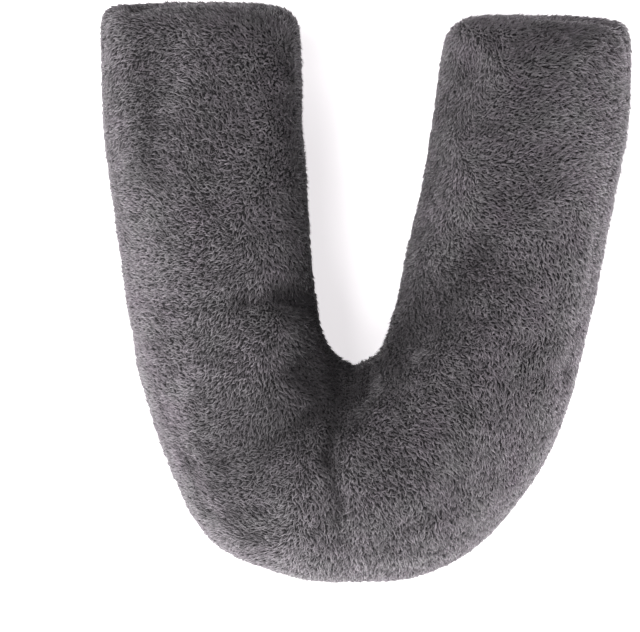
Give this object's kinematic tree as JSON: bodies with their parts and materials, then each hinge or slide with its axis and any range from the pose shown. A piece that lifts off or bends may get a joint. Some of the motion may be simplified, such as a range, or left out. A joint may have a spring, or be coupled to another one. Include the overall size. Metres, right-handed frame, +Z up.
{
  "type": "u-shaped pillow",
  "caption": "U-shaped stuffed pillow in dark grey long-pile plush, with two broad square-ended arms round an open neck gap.",
  "frame": {"origin": "middle of the plan's bounding box, on the surface that the pillow lies on", "axes": "+Z up through the thickness, out of the front panel; +Y from the rounded bend towards the ends of the arms; +X towards the right arm seen from the front"},
  "size_m": [0.46, 0.498, 0.1464],
  "materials": {
    "plush": "long soft pile in clumped locks, matt, dark grey with a faint purple cast and paler tips"
  },
  "bodies": {
    "root": {"pillow": "plush"}
  },
  "joints": []
}
